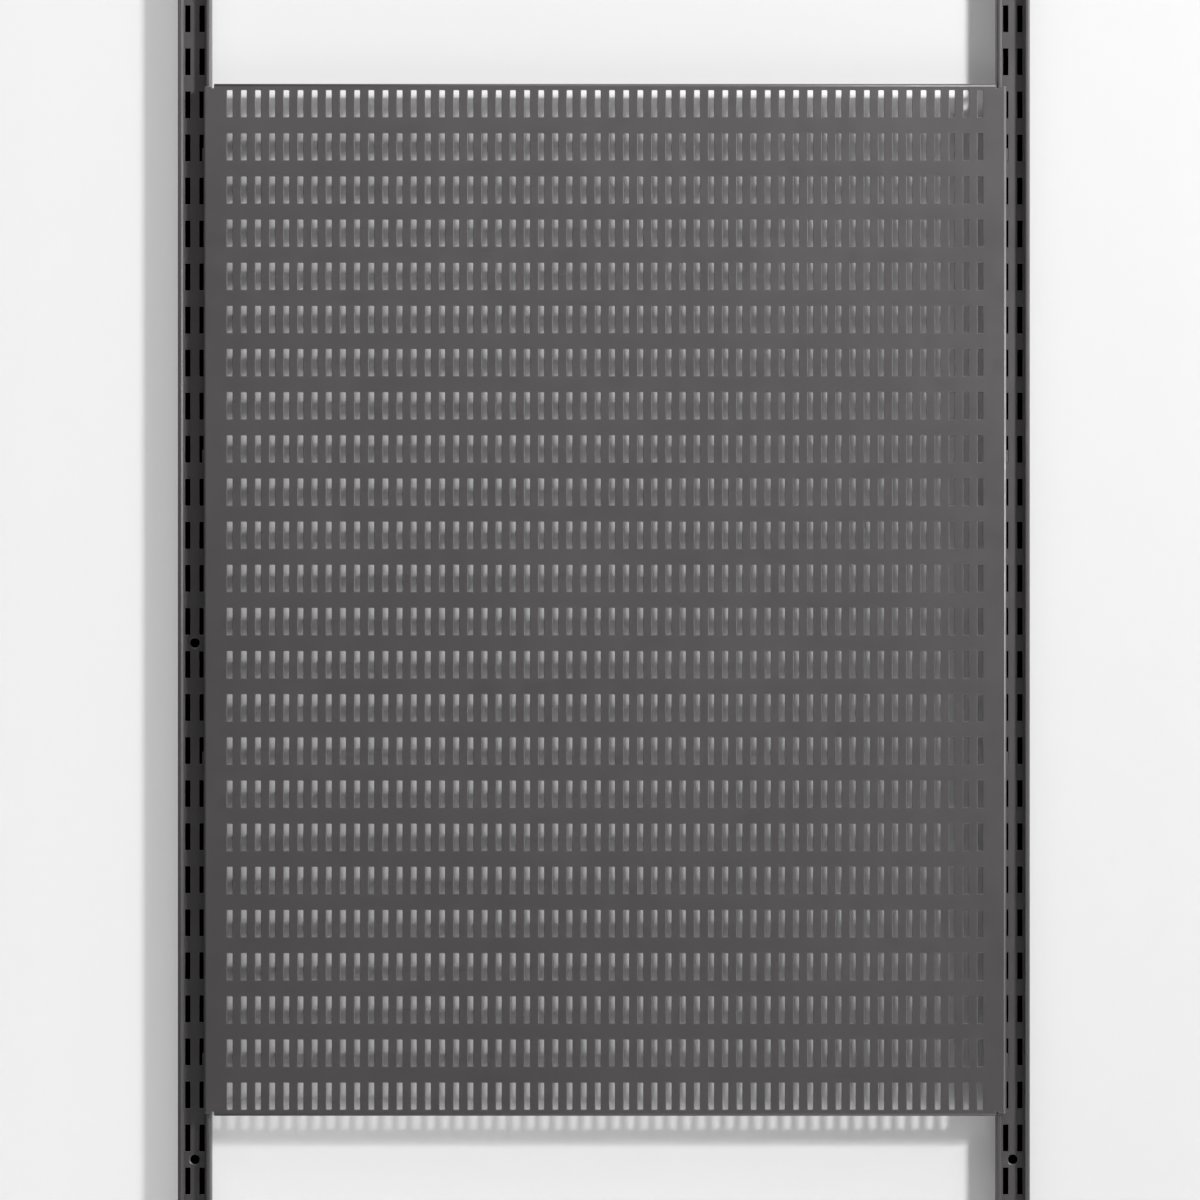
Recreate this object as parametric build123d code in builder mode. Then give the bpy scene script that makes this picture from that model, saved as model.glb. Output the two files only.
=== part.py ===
"""Slotted utility board on two twin-slot wall uprights that hang from a rail.

Millimetres. +Z is up, the wall is the plane Y = 0 and the front faces -Y. The origin is on the wall, in the
middle of the rail's line of screw holes, half-way between the uprights.
"""

import os

from build123d import *

os.makedirs("parts", exist_ok=True)

# ---- slots shared by the uprights and the board -------------------------------------------------------
SLOT_PITCH = 32.0  # height from one slot to the next
SLOT_HEIGHT = 20.0
SLOT_WIDTH = 4.0

# ---- uprights -------------------------------------------------------------------------------------------
UPRIGHT_SPACING = 608.0  # centre to centre
UPRIGHT_WIDTH = 24.5
UPRIGHT_DEPTH = 16.0
UPRIGHT_SHEET = 1.2
UPRIGHT_SLOTS = 40  # in each of the two columns
UPRIGHT_END = 4.0  # metal above the top slot and below the bottom one
WALL_GAP = 1.0  # from the wall to the rear edges of the uprights
RIDGE_WIDTH = 3.9  # each of the two front ridges
WEB_RECESS = 6.0  # from the front of the ridges back to the web
COLUMN_OFFSET = 5.35  # from the upright's middle to each slot column
OUTER_BEND = 1.5
INNER_BEND = 0.3
SCREW_HOLE_RADIUS = 3.5
SCREW_DIMPLE_RADIUS = 4.3
SCREW_DIMPLE_DEPTH = 0.5
# The screw holes sit between a slot and the one under it, counted from the top slot as 0.
LEFT_SCREW_AFTER_SLOT = (20, 32)
RIGHT_SCREW_AFTER_SLOT = (32,)

UPRIGHT_LENGTH = UPRIGHT_SLOTS * SLOT_PITCH - (SLOT_PITCH - SLOT_HEIGHT) + 2 * UPRIGHT_END
UPRIGHT_TOP = SLOT_HEIGHT / 2 + UPRIGHT_END  # the top slots are level with the rail's screws
MIDDLE_Z = UPRIGHT_TOP - UPRIGHT_LENGTH / 2
UPRIGHT_REAR_Y = -WALL_GAP
UPRIGHT_FRONT_Y = UPRIGHT_REAR_Y - UPRIGHT_DEPTH
WEB_FRONT_Y = UPRIGHT_FRONT_Y + WEB_RECESS
WEB_REAR_Y = WEB_FRONT_Y + UPRIGHT_SHEET
BACK_FRONT_Y = UPRIGHT_REAR_Y - UPRIGHT_SHEET  # inner face of the upright's back

# ---- board ----------------------------------------------------------------------------------------------
BOARD_WIDTH = 595.5
BOARD_HEIGHT = 765.6
BOARD_SHEET = 1.0
BOARD_OFFSET_X = 0.9  # the board hangs a little to one side in the play of its hooks
BOARD_STAND_OFF = 3.0  # from the uprights' front to the board's front
BOARD_ROWS = 24
BOARD_COLUMNS = 54
COLUMN_PITCH = 10.5
BEND_RADIUS = 2.0
END_RETURN_DEPTH = 10.0  # the folds along the top and the bottom, between the uprights
SIDE_RETURN_DEPTH = 8.0  # the folds down both sides, inside the uprights' recess
END_RETURN_HALF = 290.0  # the top and bottom folds stop this far from the middle
CORNER_DROP = 1.9  # the flat corners are this much lower than the bends
RELIEF_WIDTH = 1.6  # saw-cut beside each end of the top and bottom folds
RELIEF_DEPTH = 1.4

BOARD_FRONT_Y = UPRIGHT_FRONT_Y - BOARD_STAND_OFF
BOARD_HALF = BOARD_WIDTH / 2

# ---- board hooks ----------------------------------------------------------------------------------------
HOOK_ROWS = (1, 8, 15, 22)  # counted from the top row as 0
HOOK_JOGGLE = 1.4  # the tabs step out from the side fold to the middle of the slots
HOOK_NECK = 9.0
HOOK_DROP = 7.8
HOOK_REST_GAP = 0.1
HOOK_WEB_GAP = 0.4
HOOK_FINGER = 3.4
HOOK_LEAD = 2.0  # the sloping corner that guides the finger in behind the web
HOOK_SLIT = 0.5  # cut above and below each neck

STEP_START_Y = BOARD_FRONT_Y + BEND_RADIUS + BOARD_SHEET
STEP_END_Y = STEP_START_Y + 2 * BOARD_SHEET

# ---- hang rail ------------------------------------------------------------------------------------------
RAIL_HALF = 344.0
RAIL_SHEET = 1.5
RAIL_TOP = 10.0
RAIL_BOTTOM = -22.0
RAIL_REACH = 9.0  # from the wall to the front of the upturned lip
RAIL_LIP_TOP = -12.0
RAIL_BEND = 2.0
RAIL_SCREW_X = (240.0, 80.0)  # outer and inner pair
RAIL_SCREW_RADIUS = 2.75
HOOK_CLEAR = 0.3  # between an upright's hook and the rail
UPRIGHT_LIFT = 10.6  # an upright is raised this much to come off the rail

# ---- plastic pieces -------------------------------------------------------------------------------------
CAP_PLATE = 2.4
CAP_BORDER = 0.8
CAP_PLUG = 9.0
CAP_PLAY = 0.1
CAP_ROUNDING = 0.6
FOOT_COLLAR = 2.4  # under the upright's lower end; its rear face rests on the wall
FOOT_PLUG = 14.0
FOOT_PLAY = 0.15
FOOT_LEAD = 0.8  # sloping rim that guides the plug in

CUT_SPARE = 1.0  # how far cuts run past the metal


def slot_z(index):
    """Height of the middle of an upright's slot, counted from the top slot as 0."""
    return MIDDLE_Z + (UPRIGHT_SLOTS / 2 - 0.5 - index) * SLOT_PITCH


def row_z(row):
    """Height of the middle of a row of the board's slots, counted from the top row as 0."""
    return MIDDLE_Z + (BOARD_ROWS / 2 - 0.5 - row) * SLOT_PITCH


def section(centre_x, half, recess, front_y, web_y, rear_y):
    """Corners of an upright's section: two ridges at the front and the web recessed between them."""
    return [
        (centre_x - half, rear_y),
        (centre_x - half, front_y),
        (centre_x - recess, front_y),
        (centre_x - recess, web_y),
        (centre_x + recess, web_y),
        (centre_x + recess, front_y),
        (centre_x + half, front_y),
        (centre_x + half, rear_y),
    ]


def make_upright(name, centre_x, screw_after_slot):
    """A closed twin-slot upright: two hollow ridges with a slotted web recessed between them, and a plain back."""
    half = UPRIGHT_WIDTH / 2
    recess = half - RIDGE_WIDTH
    sheet = UPRIGHT_SHEET
    outer_corners = section(centre_x, half, recess, UPRIGHT_FRONT_Y, WEB_FRONT_Y, UPRIGHT_REAR_Y)
    inner_corners = section(
        centre_x, half - sheet, recess + sheet, UPRIGHT_FRONT_Y + sheet, WEB_REAR_Y, BACK_FRONT_Y
    )
    with BuildPart() as upright:
        with BuildSketch(Plane.XY.offset(UPRIGHT_TOP)) as outline:
            with BuildLine():
                Polyline(outer_corners, close=True)
            make_face()
            levels = outline.vertices().group_by(Axis.Y)
            fillet(levels[0], OUTER_BEND)
            fillet(levels[1], INNER_BEND)
            fillet(levels[2], OUTER_BEND)
        extrude(amount=-UPRIGHT_LENGTH)
        with BuildSketch(Plane.XY.offset(UPRIGHT_TOP)) as hollow:
            with BuildLine():
                Polyline(inner_corners, close=True)
            make_face()
            levels = hollow.vertices().group_by(Axis.Y)
            fillet(levels[0], INNER_BEND)
            fillet(levels[1], OUTER_BEND)
            fillet(levels[2], INNER_BEND)
        extrude(amount=-UPRIGHT_LENGTH, mode=Mode.SUBTRACT)

        # two columns of slots through the web
        with BuildSketch(Plane.XZ.offset(-WEB_FRONT_Y + CUT_SPARE)):
            with Locations((centre_x, MIDDLE_Z)):
                with GridLocations(2 * COLUMN_OFFSET, SLOT_PITCH, 2, UPRIGHT_SLOTS):
                    Rectangle(SLOT_WIDTH, SLOT_HEIGHT)
        extrude(amount=-(UPRIGHT_SHEET + 2 * CUT_SPARE), mode=Mode.SUBTRACT)

        # screw holes with a shallow dimple for the head
        for index in screw_after_slot:
            hole_z = (slot_z(index) + slot_z(index + 1)) / 2
            with Locations(Plane((centre_x, WEB_FRONT_Y, hole_z), x_dir=(1, 0, 0), z_dir=(0, -1, 0))):
                Cylinder(SCREW_HOLE_RADIUS, 4 * UPRIGHT_SHEET, mode=Mode.SUBTRACT)
                Cone(
                    SCREW_HOLE_RADIUS,
                    SCREW_DIMPLE_RADIUS,
                    SCREW_DIMPLE_DEPTH,
                    align=(Align.CENTER, Align.CENTER, Align.MAX),
                    mode=Mode.SUBTRACT,
                )

        # hook-shaped cut in both sides and the back, where the upright drops on the rail's lip
        lip_rear = -RAIL_REACH + RAIL_SHEET + HOOK_CLEAR
        lip_front = -RAIL_REACH - HOOK_CLEAR
        finger_bottom = RAIL_BOTTOM + RAIL_SHEET + HOOK_CLEAR
        finger_rear = BACK_FRONT_Y - HOOK_CLEAR
        with BuildSketch(Plane.YZ.offset(centre_x - UPRIGHT_WIDTH)):
            with BuildLine():
                Polyline(
                    (CUT_SPARE, finger_bottom - UPRIGHT_LIFT),
                    (lip_front, finger_bottom - UPRIGHT_LIFT),
                    (lip_front, RAIL_LIP_TOP + HOOK_CLEAR),
                    (lip_rear, RAIL_LIP_TOP + HOOK_CLEAR),
                    (lip_rear, finger_bottom),
                    (finger_rear, finger_bottom),
                    (finger_rear, UPRIGHT_TOP + CUT_SPARE),
                    (CUT_SPARE, UPRIGHT_TOP + CUT_SPARE),
                    close=True,
                )
            make_face()
        extrude(amount=2 * UPRIGHT_WIDTH, mode=Mode.SUBTRACT)
    upright.part.label = name
    export_step(upright.part, f"parts/{name}.step")


def place(side, x):
    """A place across the board, from its middle, on one side of it."""
    return BOARD_OFFSET_X + side * x


def hook_tab(side, row):
    """One hook of the board: a neck that steps out of the side fold to the slots' middle, and its finger."""
    slot_bottom = row_z(row) - SLOT_HEIGHT / 2
    neck_bottom = slot_bottom + HOOK_REST_GAP
    finger_middle = neck_bottom + HOOK_NECK / 2
    finger_front = WEB_REAR_Y + HOOK_WEB_GAP
    finger_rear = finger_front + HOOK_FINGER
    finger_tip = slot_bottom - HOOK_DROP
    outer = BOARD_HALF + HOOK_JOGGLE
    with BuildPart() as tab:
        with BuildSketch(Plane.XY.offset(neck_bottom)):
            with BuildLine():
                Polyline(
                    (place(side, BOARD_HALF - BOARD_SHEET), STEP_START_Y - BOARD_SHEET / 2),
                    (place(side, BOARD_HALF), STEP_START_Y - BOARD_SHEET / 2),
                    (place(side, BOARD_HALF), STEP_START_Y),
                    (place(side, outer), STEP_END_Y),
                    (place(side, outer), finger_rear),
                    (place(side, outer - BOARD_SHEET), finger_rear),
                    (place(side, outer - BOARD_SHEET), STEP_END_Y + BOARD_SHEET / 2),
                    (place(side, BOARD_HALF - BOARD_SHEET), STEP_START_Y + BOARD_SHEET / 2),
                    close=True,
                )
            make_face()
        extrude(amount=HOOK_NECK)
        with BuildSketch(Plane.YZ.offset(place(side, outer))):
            with BuildLine():
                Polyline(
                    (finger_front, finger_middle),
                    (finger_front, finger_tip + HOOK_LEAD),
                    (finger_front + HOOK_LEAD / 2, finger_tip),
                    (finger_rear, finger_tip),
                    (finger_rear, finger_middle),
                    close=True,
                )
            make_face()
        extrude(amount=-side * BOARD_SHEET)
    return tab.part


def make_board():
    """The slotted board: one sheet folded back along all four edges, with hook tabs on the side folds."""
    half_height = BOARD_HEIGHT / 2
    rear_y = BOARD_FRONT_Y + END_RETURN_DEPTH
    side_rear_y = BOARD_FRONT_Y + SIDE_RETURN_DEPTH
    window_depth = side_rear_y - STEP_START_Y
    tabs = [hook_tab(side, row) for side in (-1, 1) for row in HOOK_ROWS]
    with BuildPart() as board:
        with Locations((BOARD_OFFSET_X, (BOARD_FRONT_Y + rear_y) / 2, MIDDLE_Z)):
            Box(BOARD_WIDTH, END_RETURN_DEPTH, BOARD_HEIGHT)
        fillet(board.faces().sort_by(Axis.Y)[0].edges(), BEND_RADIUS)
        offset(amount=-BOARD_SHEET, openings=board.faces().sort_by(Axis.Y)[-1])

        # flat corners, and a relief beside each end of the top and bottom folds
        corner = BOARD_HALF - END_RETURN_HALF
        with Locations((BOARD_OFFSET_X, (BOARD_FRONT_Y + rear_y) / 2, MIDDLE_Z)):
            with GridLocations(BOARD_WIDTH - corner, 0.0, 2, 1):
                for side in (-1, 1):
                    with Locations((0, 0, side * half_height)):
                        Box(corner, 2 * END_RETURN_DEPTH, 2 * CORNER_DROP, mode=Mode.SUBTRACT)
            with GridLocations(2 * END_RETURN_HALF + RELIEF_WIDTH, 0.0, 2, 1):
                for side in (-1, 1):
                    with Locations((0, 0, side * (half_height - CORNER_DROP))):
                        Box(RELIEF_WIDTH, 2 * END_RETURN_DEPTH, 2 * RELIEF_DEPTH, mode=Mode.SUBTRACT)
            # the side folds are shallower than the top and bottom ones
            side_cut = END_RETURN_DEPTH - SIDE_RETURN_DEPTH
            with GridLocations(BOARD_WIDTH, 0.0, 2, 1):
                with Locations((0, END_RETURN_DEPTH / 2, 0)):
                    Box(2 * corner, 2 * side_cut, BOARD_HEIGHT, mode=Mode.SUBTRACT)

        # the side folds are open behind each hook's step
        for row in HOOK_ROWS:
            neck_middle = row_z(row) - SLOT_HEIGHT / 2 + HOOK_REST_GAP + HOOK_NECK / 2
            with Locations((BOARD_OFFSET_X, side_rear_y - window_depth / 2, neck_middle)):
                with GridLocations(2 * BOARD_HALF, 0.0, 2, 1):
                    Box(
                        4 * BOARD_SHEET,
                        window_depth,
                        HOOK_NECK + 2 * HOOK_SLIT,
                        mode=Mode.SUBTRACT,
                    )
        add(tabs)

        # 24 rows of slots
        with BuildSketch(Plane.XZ.offset(-BOARD_FRONT_Y + CUT_SPARE)):
            with Locations((BOARD_OFFSET_X, MIDDLE_Z)):
                with GridLocations(COLUMN_PITCH, SLOT_PITCH, BOARD_COLUMNS, BOARD_ROWS):
                    Rectangle(SLOT_WIDTH, SLOT_HEIGHT)
        extrude(amount=-(BOARD_SHEET + 2 * CUT_SPARE), mode=Mode.SUBTRACT)
    board.part.label = "utility_board"
    export_step(board.part, "parts/utility_board.step")


def make_rail():
    """The wall rail: a flat plate with its lower edge folded out and up into a lip."""
    with BuildPart() as rail:
        with BuildSketch(Plane.YZ.offset(-RAIL_HALF)) as outline:
            with BuildLine():
                Polyline(
                    (0, RAIL_TOP),
                    (0, RAIL_BOTTOM),
                    (-RAIL_REACH, RAIL_BOTTOM),
                    (-RAIL_REACH, RAIL_LIP_TOP),
                    (-RAIL_REACH + RAIL_SHEET, RAIL_LIP_TOP),
                    (-RAIL_REACH + RAIL_SHEET, RAIL_BOTTOM + RAIL_SHEET),
                    (-RAIL_SHEET, RAIL_BOTTOM + RAIL_SHEET),
                    (-RAIL_SHEET, RAIL_TOP),
                    close=True,
                )
            make_face()
            fillet(outline.vertices().group_by(Axis.Y)[0], RAIL_BEND)
        extrude(amount=2 * RAIL_HALF)
        for hole_x in RAIL_SCREW_X:
            with Locations((-hole_x, 0, 0), (hole_x, 0, 0)):
                Cylinder(RAIL_SCREW_RADIUS, 4 * RAIL_SHEET, rotation=(90, 0, 0), mode=Mode.SUBTRACT)
    rail.part.label = "hang_rail"
    export_step(rail.part, "parts/hang_rail.step")


def make_end_cap(name, side):
    """A moulded cap on one end of the rail: an end plate with a plug that fills the rail's channel."""
    channel_front = -RAIL_REACH + RAIL_SHEET + CAP_PLAY
    channel_rear = -RAIL_SHEET - CAP_PLAY
    channel_floor = RAIL_BOTTOM + RAIL_SHEET + CAP_PLAY
    with BuildPart() as cap:
        with BuildSketch(Plane.YZ.offset(side * RAIL_HALF)) as plate:
            with BuildLine():
                Polyline(
                    (0, RAIL_TOP + CAP_BORDER),
                    (0, RAIL_BOTTOM - CAP_BORDER),
                    (-RAIL_REACH - CAP_BORDER, RAIL_BOTTOM - CAP_BORDER),
                    (-RAIL_REACH - CAP_BORDER, RAIL_LIP_TOP + CAP_BORDER),
                    (-RAIL_SHEET - 2 * CAP_BORDER, RAIL_TOP + CAP_BORDER),
                    close=True,
                )
            make_face()
            fillet(plate.vertices().group_by(Axis.Y)[0], RAIL_BEND)
        extrude(amount=side * CAP_PLATE)
        fillet(cap.faces().sort_by(Axis.X)[-1 if side > 0 else 0].edges(), CAP_ROUNDING)
        with BuildSketch(Plane.YZ.offset(side * RAIL_HALF)):
            with BuildLine():
                Polyline(
                    (channel_rear, RAIL_LIP_TOP),
                    (channel_rear, channel_floor),
                    (channel_front, channel_floor),
                    (channel_front, RAIL_LIP_TOP),
                    close=True,
                )
            make_face()
        extrude(amount=-side * CAP_PLUG)
    cap.part.label = name
    export_step(cap.part, f"parts/{name}.step")


def make_foot(name, centre_x):
    """A moulded foot: its plug closes an upright's lower end and its collar holds that end off the wall."""
    end_z = UPRIGHT_TOP - UPRIGHT_LENGTH
    plug_front = WEB_REAR_Y + FOOT_PLAY
    plug_rear = BACK_FRONT_Y - FOOT_PLAY
    plug_width = UPRIGHT_WIDTH - 2 * (UPRIGHT_SHEET + FOOT_PLAY)
    with BuildPart() as foot:
        with BuildSketch(Plane.XY.offset(end_z)):
            with Locations((centre_x, (plug_front + plug_rear) / 2)):
                Rectangle(plug_width, plug_rear - plug_front)
        extrude(amount=FOOT_PLUG)
        chamfer(foot.faces().sort_by(Axis.Z)[-1].edges(), FOOT_LEAD)
        with BuildSketch(Plane.XY.offset(end_z)) as collar:
            with Locations((centre_x, UPRIGHT_FRONT_Y / 2)):
                Rectangle(UPRIGHT_WIDTH, -UPRIGHT_FRONT_Y)
            fillet(collar.vertices().group_by(Axis.Y)[0], OUTER_BEND)
        extrude(amount=-FOOT_COLLAR)
    foot.part.label = name
    export_step(foot.part, f"parts/{name}.step")


def main():
    make_upright("upright_left", -UPRIGHT_SPACING / 2, LEFT_SCREW_AFTER_SLOT)
    make_upright("upright_right", UPRIGHT_SPACING / 2, RIGHT_SCREW_AFTER_SLOT)
    make_board()
    make_rail()
    make_end_cap("rail_end_cap_left", -1)
    make_end_cap("rail_end_cap_right", 1)
    make_foot("upright_foot_left", -UPRIGHT_SPACING / 2)
    make_foot("upright_foot_right", UPRIGHT_SPACING / 2)


main()
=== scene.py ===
"""Slotted utility board on two wall uprights.

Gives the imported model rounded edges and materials, and a wall, a floor, lights and a camera.
"""

import math

import bpy
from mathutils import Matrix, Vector


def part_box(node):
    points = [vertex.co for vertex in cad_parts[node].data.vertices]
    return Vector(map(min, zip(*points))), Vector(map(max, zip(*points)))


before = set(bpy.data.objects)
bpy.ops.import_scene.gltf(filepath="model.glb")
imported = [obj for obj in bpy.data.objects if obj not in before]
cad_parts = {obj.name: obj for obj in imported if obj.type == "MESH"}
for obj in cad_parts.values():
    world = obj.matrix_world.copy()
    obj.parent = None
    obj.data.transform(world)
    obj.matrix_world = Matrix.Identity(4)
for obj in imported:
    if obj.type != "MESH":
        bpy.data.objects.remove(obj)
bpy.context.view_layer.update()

board_low, board_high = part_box("utility_board")
BOARD_MIDDLE = (board_low + board_high) / 2
FRONT_Y = board_low.y  # the board's front
WALL_Y = 0.0


def grey(value):
    return (value, value, value)


# ---- rounded edges ---------------------------------------------------------------------------
RIM = 1  # the material slot of the rounded strips
CUT_EDGE_ANGLE = math.radians(40)  # an edge sharper than this was cut; the bends are in finer steps
SPLIT_CORNERS = 0.00001  # joins the corners that the loaded mesh has once for each face
RUN_OUT_STEPS = 0.0002  # also joins the tiny steps where the board's bends run out


def soften_edges(node, width, join=SPLIT_CORNERS, clamp=True):
    """Rounds the sheet's cut edges; the rounded strips take the rim's material.

    With clamp, the shortest edge of the mesh holds the width of every strip down.
    """
    weld = node.modifiers.new("joined_corners", "WELD")
    weld.merge_threshold = join
    bevel = node.modifiers.new("rounded_edges", "BEVEL")
    bevel.width = width
    bevel.segments = 1
    bevel.limit_method = "ANGLE"
    bevel.angle_limit = CUT_EDGE_ANGLE
    bevel.use_clamp_overlap = clamp
    bevel.harden_normals = True
    bevel.material = RIM


# ---- materials -------------------------------------------------------------------------------
def new_material(name):
    material = bpy.data.materials.new(name)
    material.use_nodes = True
    tree = material.node_tree
    return material, tree, tree.nodes["Principled BSDF"]


def add_node(tree, kind, **inputs):
    node = tree.nodes.new(kind)
    for key, value in inputs.items():
        node.inputs[key.replace("_", " ")].default_value = value
    return node


def noise(tree, coordinates, scale, detail=2.0, roughness=0.5):
    node = add_node(tree, "ShaderNodeTexNoise", Scale=scale, Detail=detail, Roughness=roughness)
    tree.links.new(coordinates.outputs["Object"], node.inputs["Vector"])
    return node.outputs["Fac"]


def remap(tree, source, low, high, new_low, new_high):
    """Maps low...high to new_low...new_high, and holds the ends outside it."""
    node = add_node(
        tree, "ShaderNodeMapRange", From_Min=low, From_Max=high, To_Min=new_low, To_Max=new_high
    )
    tree.links.new(source, node.inputs["Value"])
    return node.outputs[0]


def math_node(tree, operation, first, second):
    node = tree.nodes.new("ShaderNodeMath")
    node.operation = operation
    for socket, value in zip(node.inputs, (first, second)):
        if isinstance(value, (int, float)):
            socket.default_value = value
        else:
            tree.links.new(value, socket)
    return node.outputs[0]


def colour_mix(tree, factor, first, second):
    node = tree.nodes.new("ShaderNodeMix")
    node.data_type = "RGBA"
    tree.links.new(factor, node.inputs["Factor"])
    for key, value in (("A", first), ("B", second)):
        if isinstance(value, tuple):
            node.inputs[key].default_value = (*value, 1)
        else:
            tree.links.new(value, node.inputs[key])
    return node.outputs["Result"]


def separated(tree, coordinates):
    node = tree.nodes.new("ShaderNodeSeparateXYZ")
    tree.links.new(coordinates.outputs["Object"], node.inputs[0])
    return node


def distance_from(tree, source, middle_value):
    return math_node(tree, "ABSOLUTE", math_node(tree, "SUBTRACT", source, middle_value), 0.0)


def bump_from(tree, shader, height, strength, distance):
    bump = add_node(tree, "ShaderNodeBump", Strength=strength, Distance=distance)
    tree.links.new(height, bump.inputs["Height"])
    tree.links.new(bump.outputs["Normal"], shader.inputs["Normal"])


def scaled(colour, factor):
    return tuple(channel * factor for channel in colour)


SHEEN = 0.7
PAINTED_SHADE_LOW, PAINTED_LIGHT_HIGH = 0.80, 1.20  # the coat at the board's lower and upper edge: painted shade below, painted light above
DRIFT = 0.05  # either way
INSIDE_HALF = 0.0111  # the upright's inner half width
INSIDE_FRONT_Y = -0.0097  # just behind the upright's web
INSIDE_BACK_Y = -0.0016  # within the upright's back
# painted shade: the coat inside an upright's closed section is this fraction of its colour
PAINTED_SHADE_INSIDE_TONE = 0.04


def powder_coat(name, colour, wear_and_highlight=0.0, painted_shade_inside_x=None):
    """Satin powder coat: fine orange peel, slow colour drift, dust specks, faint handling marks.

    It is painted paler towards the top, as painted light, and darker towards the bottom, as
    painted shade. wear sets how much paler and smoother the coat on a rounded edge is made,
    partly as handling marks and partly as a painted highlight along the edge.
    painted_shade_inside_x is the middle of a closed section whose inside is painted nearly black
    and without sheen, as painted shade.
    """
    material, tree, shader = new_material(name)
    coordinates = tree.nodes.new("ShaderNodeTexCoord")
    drift = noise(tree, coordinates, 7.0, 3.0, 0.55)
    speck = noise(tree, coordinates, 2600.0, 1.0)
    rubbing_and_highlight = noise(tree, coordinates, 60.0, 4.0, 0.65)
    peel = noise(tree, coordinates, 900.0)

    place = separated(tree, coordinates)
    # painted light and shade: the coat is paler towards the board's top edge and darker at its
    # bottom
    height = remap(tree, place.outputs["Z"], board_low.z, board_high.z, 0.0, 1.0)
    dark, pale = (
        colour_mix(
            tree, height, scaled(colour, PAINTED_SHADE_LOW * drifted), scaled(colour, PAINTED_LIGHT_HIGH * drifted)
        )
        for drifted in (1 - DRIFT, 1 + DRIFT)
    )
    tone = colour_mix(tree, remap(tree, drift, 0.35, 0.65, 0.0, 1.0), dark, pale)
    dusty = remap(tree, speck, 0.35, 0.65, 0.0, 0.10)
    tone = colour_mix(tree, dusty, tone, scaled(colour, 1.5))
    speck_gloss = remap(tree, speck, 0.3, 0.7, 0.42, 0.49)
    rubbed_gloss = remap(tree, rubbing_and_highlight, 0.35, 0.7, 0.04, -0.06)
    gloss = math_node(tree, "ADD", speck_gloss, rubbed_gloss)
    # painted highlight and handling marks: the rounded strips' coat is made patchily paler and
    # smoother
    if wear_and_highlight:
        worn_and_highlit = remap(tree, rubbing_and_highlight, 0.38, 0.60, 0.5 * wear_and_highlight, wear_and_highlight)
        tone = colour_mix(tree, worn_and_highlit, tone, scaled(colour, 3.0))
        gloss = math_node(tree, "SUBTRACT", gloss, 0.25 * wear_and_highlight)
    if painted_shade_inside_x is not None:
        # painted shade: inside the closed section the coat is nearly black and has no sheen
        off_middle = distance_from(tree, place.outputs["X"], painted_shade_inside_x)
        between_sides = math_node(tree, "LESS_THAN", off_middle, INSIDE_HALF)
        behind_web = math_node(tree, "GREATER_THAN", place.outputs["Y"], INSIDE_FRONT_Y)
        before_back = math_node(tree, "LESS_THAN", place.outputs["Y"], INSIDE_BACK_Y)
        inside = math_node(tree, "MULTIPLY", between_sides, behind_web)
        inside = math_node(tree, "MULTIPLY", inside, before_back)
        tone = colour_mix(tree, inside, tone, scaled(colour, PAINTED_SHADE_INSIDE_TONE))
        sheen = remap(tree, inside, 0.0, 1.0, SHEEN, 0.0)
        tree.links.new(sheen, shader.inputs["Specular IOR Level"])
    else:
        shader.inputs["Specular IOR Level"].default_value = SHEEN
    tree.links.new(tone, shader.inputs["Base Color"])
    tree.links.new(gloss, shader.inputs["Roughness"])
    bump_from(tree, shader, peel, 0.10, 0.0002)
    return material


def moulded_plastic(name, colour):
    material, tree, shader = new_material(name)
    coordinates = tree.nodes.new("ShaderNodeTexCoord")
    grain = noise(tree, coordinates, 1800.0, 2.0, 0.6)
    scuffs = noise(tree, coordinates, 140.0, 3.0, 0.6)
    tone = colour_mix(tree, grain, scaled(colour, 0.9), scaled(colour, 1.1))
    tone = colour_mix(tree, remap(tree, scuffs, 0.55, 0.75, 0.0, 0.5), tone, scaled(colour, 1.8))
    tree.links.new(tone, shader.inputs["Base Color"])
    tree.links.new(remap(tree, grain, 0.3, 0.7, 0.5, 0.65), shader.inputs["Roughness"])
    bump_from(tree, shader, grain, 0.2, 0.0001)
    return material


GRAPHITE = (0.0625, 0.0580, 0.0600)
PLASTIC = (0.042, 0.042, 0.044)
# how far the rounded strips are made paler: partly handling marks, partly a painted highlight
EDGE_WEAR_AND_HIGHLIGHT = 0.6
BOARD_EDGE, RAIL_EDGE, UPRIGHT_EDGE = 0.00045, 0.00025, 0.0002  # widths of the rounded strips

board_coat = powder_coat("board_coat", GRAPHITE)
rim_wear_and_highlight = powder_coat("rim_wear_and_highlight", GRAPHITE, wear_and_highlight=EDGE_WEAR_AND_HIGHLIGHT)
rail_coat = powder_coat("rail_coat", GRAPHITE)
plastic = moulded_plastic("dark_plastic", PLASTIC)


def finish_node(name, coat, rim=rim_wear_and_highlight):
    """Gives a CAD node its coat and the material of its rounded edges."""
    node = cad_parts[name]
    node.data.materials.clear()
    node.data.materials.append(coat)
    node.data.materials.append(rim)
    return node


board = finish_node("utility_board", board_coat)
soften_edges(board, BOARD_EDGE, join=RUN_OUT_STEPS, clamp=False)
soften_edges(finish_node("hang_rail", rail_coat), RAIL_EDGE)
for side in ("left", "right"):
    low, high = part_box("upright_" + side)
    coat = powder_coat("upright_coat_" + side, GRAPHITE, painted_shade_inside_x=(low.x + high.x) / 2)
    soften_edges(finish_node("upright_" + side, coat), UPRIGHT_EDGE)
    finish_node("upright_foot_" + side, plastic, plastic)
    finish_node("rail_end_cap_" + side, plastic, plastic)


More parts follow.
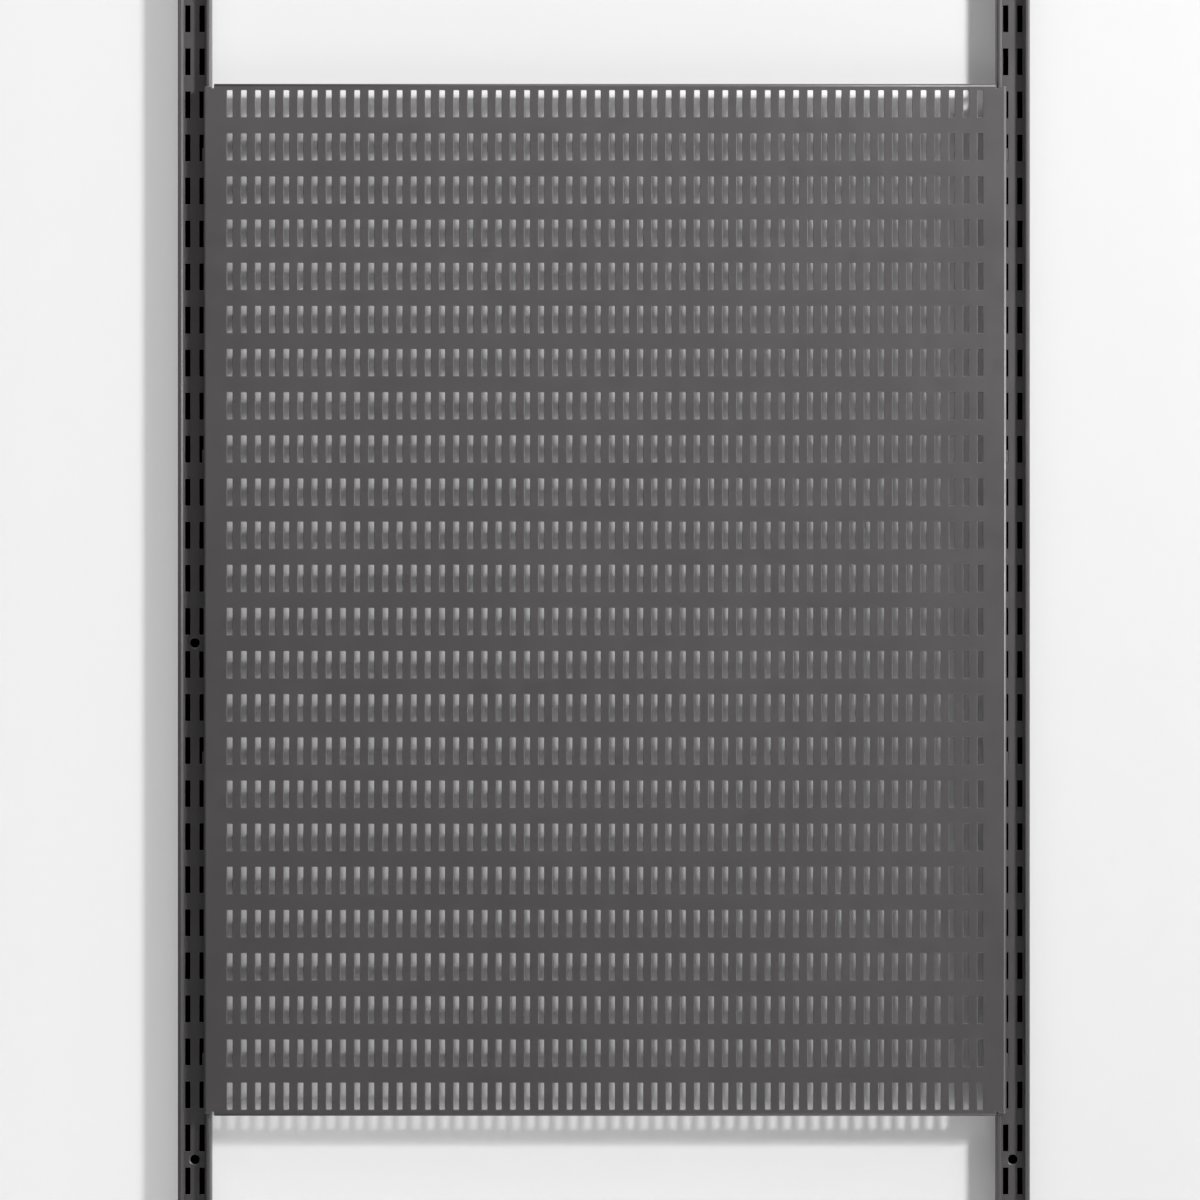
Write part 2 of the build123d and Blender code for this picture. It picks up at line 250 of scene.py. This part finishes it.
# ---- wall and floor --------------------------------------------------------------------------
def plane(name, corners, material):
    mesh = bpy.data.meshes.new(name)
    mesh.from_pydata(corners, [], [(0, 1, 2, 3)])
    mesh.materials.append(material)
    made = bpy.data.objects.new(name, mesh)
    bpy.context.scene.collection.objects.link(made)


def matt_paint(name, colour):
    material, _, shader = new_material(name)
    shader.inputs["Base Color"].default_value = (*colour, 1)
    shader.inputs["Roughness"].default_value = 0.9
    shader.inputs["Specular IOR Level"].default_value = 0.1
    return material


HALF_PICTURE = (0.42, 0.44)  # half the width and height over which the wall's painted shade and light change
CORNER_PAINTED_SHADING = (0.60, 0.63, 0.54, 0.56)  # painted shade and light at the lower left, lower right, upper left, upper right
BEHIND_HALF = (0.300, 0.384)  # half the width and height of the part that the board hides
# the wall's own tone where the board hides it; around it the tone is painted and it glows
BEHIND_TONE = 0.85
# painted light: how much the wall around the board glows at its left and right
LEFT_PAINTED_GLOW, RIGHT_PAINTED_GLOW = 0.31, 0.04


def wall_with_painted_light(name):
    """Matt wall, clear from behind and to the lamp behind it.

    Around the board its tone is painted darker at the top and paler at the bottom, as painted
    shade and light, and it glows a little, more at the left, as painted light.
    """
    lower_left, lower_right, upper_left, upper_right = (grey(tone) for tone in CORNER_PAINTED_SHADING)
    material = matt_paint(name, lower_left)
    tree = material.node_tree
    shader = tree.nodes["Principled BSDF"]
    place = separated(tree, tree.nodes.new("ShaderNodeTexCoord"))
    half_width, half_height = HALF_PICTURE
    across = remap(tree, place.outputs["X"], -half_width, half_width, 0.0, 1.0)
    low, high = BOARD_MIDDLE.z - half_height, BOARD_MIDDLE.z + half_height
    up = remap(tree, place.outputs["Z"], low, high, 0.0, 1.0)
    # painted shade and light: the wall's tone is blended between the four corner tones
    lower = colour_mix(tree, across, lower_left, lower_right)
    upper = colour_mix(tree, across, upper_left, upper_right)
    off_x = distance_from(tree, place.outputs["X"], BOARD_MIDDLE.x)
    off_z = distance_from(tree, place.outputs["Z"], BOARD_MIDDLE.z)
    beside = math_node(tree, "GREATER_THAN", off_x, BEHIND_HALF[0])
    above_or_below = math_node(tree, "GREATER_THAN", off_z, BEHIND_HALF[1])
    around = math_node(tree, "MAXIMUM", beside, above_or_below)
    tone = colour_mix(tree, around, grey(BEHIND_TONE), colour_mix(tree, up, lower, upper))
    tree.links.new(tone, shader.inputs["Base Color"])
    # painted light: the wall around the board glows, more at the left
    painted_glow = remap(tree, across, 0.0, 1.0, LEFT_PAINTED_GLOW, RIGHT_PAINTED_GLOW)
    tree.links.new(math_node(tree, "MULTIPLY", around, painted_glow), shader.inputs["Emission Strength"])
    shader.inputs["Emission Color"].default_value = (1, 1, 1, 1)

    side = tree.nodes.new("ShaderNodeNewGeometry")
    ray = tree.nodes.new("ShaderNodeLightPath")
    clear = tree.nodes.new("ShaderNodeBsdfTransparent")
    mix = tree.nodes.new("ShaderNodeMixShader")
    backfacing, shadow = side.outputs["Backfacing"], ray.outputs["Is Shadow Ray"]
    see_through = math_node(tree, "MAXIMUM", backfacing, shadow)
    tree.links.new(see_through, mix.inputs[0])
    tree.links.new(shader.outputs[0], mix.inputs[1])
    tree.links.new(clear.outputs[0], mix.inputs[2])
    tree.links.new(mix.outputs[0], tree.nodes["Material Output"].inputs["Surface"])
    return material


FLOOR_Z = BOARD_MIDDLE.z - 1.3
FLOOR_TONE = 0.82
WALL_TOP = 4.0
REACH = 6.0  # of the wall and the floor to each side
wall_corners = [(-REACH, FLOOR_Z), (REACH, FLOOR_Z), (REACH, WALL_TOP), (-REACH, WALL_TOP)]
floor_corners = [(-REACH, -REACH), (REACH, -REACH), (REACH, REACH), (-REACH, REACH)]
plane("wall", [(x, WALL_Y, z) for x, z in wall_corners], wall_with_painted_light("wall_with_painted_light"))
floor_paint = matt_paint("floor_paint", grey(FLOOR_TONE))
plane("floor", [(x, y, FLOOR_Z) for x, y in floor_corners], floor_paint)


# ---- light and camera ------------------------------------------------------------------------
LIT_POINT = Vector((BOARD_MIDDLE.x, FRONT_Y, BOARD_MIDDLE.z))


def area_light(name, offset, width, height, power):
    """A rectangular light at an offset from the middle of the board's front, facing it."""
    data = bpy.data.lights.new(name, "AREA")
    data.shape = "RECTANGLE"
    data.size = width
    data.size_y = height
    data.energy = power
    made = bpy.data.objects.new(name, data)
    made.location = LIT_POINT + Vector(offset)
    made.rotation_euler = (-Vector(offset)).to_track_quat("-Z", "Y").to_euler()
    bpy.context.scene.collection.objects.link(made)


area_light("key_core", (2.40, -1.62, 1.69), 0.20, 0.20, 62)
area_light("key_soft", (2.42, -1.62, 1.50), 0.32, 0.50, 92)
area_light("side_soft", (3.1, -2.1, 0.9), 1.2, 1.2, 20)
area_light("overhead", (-0.5, -1.0, 2.4), 1.4, 1.0, 24)
area_light("rear_fill", (0.0, 2.8, 0.9), 1.6, 1.6, 30)

WORLD_LIGHT, WORLD_SEEN = 0.01, 0.75  # hardly a light, but the backdrop from behind
world = bpy.data.worlds.new("studio")
world.use_nodes = True
world_tree = world.node_tree
background = world_tree.nodes["Background"]
background.inputs["Color"].default_value = (1, 1, 1, 1)
seen = world_tree.nodes.new("ShaderNodeLightPath").outputs["Is Camera Ray"]
strength = remap(world_tree, seen, 0.0, 1.0, WORLD_LIGHT, WORLD_SEEN)
world_tree.links.new(strength, background.inputs["Strength"])
bpy.context.scene.world = world

CAMERA_DISTANCE = 3.5  # from the board's front
VIEW_WIDTH = 0.88975  # what the picture spans at the board's front
CAMERA_X = -0.00285  # the picture's middle is a little left of the uprights' middle
CAMERA_DROP = 0.0001  # and a little below the board's
camera_data = bpy.data.cameras.new("camera")
camera_data.sensor_width = 36.0
camera_data.lens = camera_data.sensor_width * CAMERA_DISTANCE / VIEW_WIDTH
camera_data.clip_start = 0.05
camera_data.clip_end = 50.0
camera = bpy.data.objects.new("camera", camera_data)
camera.location = (CAMERA_X, FRONT_Y - CAMERA_DISTANCE, BOARD_MIDDLE.z - CAMERA_DROP)
camera.rotation_euler = (math.radians(90), 0, 0)
bpy.context.scene.collection.objects.link(camera)
bpy.context.scene.camera = camera
bpy.context.scene.view_settings.view_transform = "Standard"
